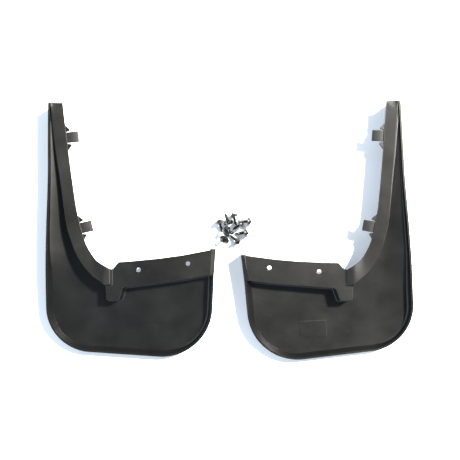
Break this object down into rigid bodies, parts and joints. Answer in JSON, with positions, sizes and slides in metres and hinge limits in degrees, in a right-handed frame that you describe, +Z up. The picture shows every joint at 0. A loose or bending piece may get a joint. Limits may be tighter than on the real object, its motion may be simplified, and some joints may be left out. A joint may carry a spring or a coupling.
{
  "type": "mud flap set",
  "caption": "Handed pair of moulded mud flaps with rimmed trays, curved arch strips, screw flanges, slide-in clips and a heap of washer-head screws.",
  "frame": {"origin": "middle of the set's bounding box, on the surface it lies on", "axes": "+X to the viewer's right across the pair, +Y up the flaps towards their narrow upper ends, +Z up from the surface, out of the trays"},
  "size_m": [0.5044, 0.356, 0.029],
  "materials": {
    "flap_plastic": "fine moulded grain, semi-matt black",
    "clip_plastic": "finely textured black",
    "screw_steel": "black electrophoretic coat, semi-gloss"
  },
  "bodies": {
    "left_flap": {"left_flap": "flap_plastic"},
    "right_flap": {"right_flap": "flap_plastic"},
    "left_upper_clip": {"left_upper_clip": "clip_plastic"},
    "left_lower_clip": {"left_lower_clip": "clip_plastic"},
    "right_upper_clip": {"right_upper_clip": "clip_plastic"},
    "right_lower_clip": {"right_lower_clip": "clip_plastic"},
    "screw_01": {"screw_01": "screw_steel"},
    "screw_02": {"screw_02": "screw_steel"},
    "screw_03": {"screw_03": "screw_steel"},
    "screw_04": {"screw_04": "screw_steel"},
    "screw_05": {"screw_05": "screw_steel"},
    "screw_06": {"screw_06": "screw_steel"},
    "screw_07": {"screw_07": "screw_steel"},
    "screw_08": {"screw_08": "screw_steel"},
    "screw_09": {"screw_09": "screw_steel"}
  },
  "joints": [
    {"name": "right_flap_lift", "type": "slide", "parent": "left_flap", "child": "right_flap", "axis": [0, 0, 1], "range_m": [0, 0.08]},
    {"name": "left_upper_clip_slide", "type": "slide", "parent": "left_flap", "child": "left_upper_clip", "axis": [0.9925, 0.1219, 0], "range_m": [0, 0.014]},
    {"name": "left_lower_clip_slide", "type": "slide", "parent": "left_flap", "child": "left_lower_clip", "axis": [0.9744, 0.225, 0], "range_m": [0, 0.014]},
    {"name": "right_upper_clip_slide", "type": "slide", "parent": "right_flap", "child": "right_upper_clip", "axis": [-0.9976, 0.0698, 0], "range_m": [0, 0.014]},
    {"name": "right_lower_clip_slide", "type": "slide", "parent": "right_flap", "child": "right_lower_clip", "axis": [-0.9848, 0.1736, 0], "range_m": [0, 0.014]},
    {"name": "screw_01_lift", "type": "slide", "parent": "left_flap", "child": "screw_01", "axis": [0, 0, 1], "range_m": [0, 0.04]},
    {"name": "screw_02_lift", "type": "slide", "parent": "left_flap", "child": "screw_02", "axis": [0, -0.6, 0.8], "range_m": [0, 0.04]},
    {"name": "screw_03_lift", "type": "slide", "parent": "left_flap", "child": "screw_03", "axis": [0.2996, -0.0999, 0.9488], "range_m": [0, 0.03]},
    {"name": "screw_04_lift", "type": "slide", "parent": "left_flap", "child": "screw_04", "axis": [0, 0, 1], "range_m": [0, 0.04]},
    {"name": "screw_05_lift", "type": "slide", "parent": "left_flap", "child": "screw_05", "axis": [1, 0, 0], "range_m": [0, 0.03]},
    {"name": "screw_06_lift", "type": "slide", "parent": "left_flap", "child": "screw_06", "axis": [0, 0.8575, 0.5145], "range_m": [0, 0.03]},
    {"name": "screw_07_lift", "type": "slide", "parent": "left_flap", "child": "screw_07", "axis": [0, 0, 1], "range_m": [0, 0.04]},
    {"name": "screw_08_lift", "type": "slide", "parent": "left_flap", "child": "screw_08", "axis": [0, 0, 1], "range_m": [0, 0.04]},
    {"name": "screw_09_lift", "type": "slide", "parent": "left_flap", "child": "screw_09", "axis": [0, 0, 1], "range_m": [0, 0.04]}
  ]
}
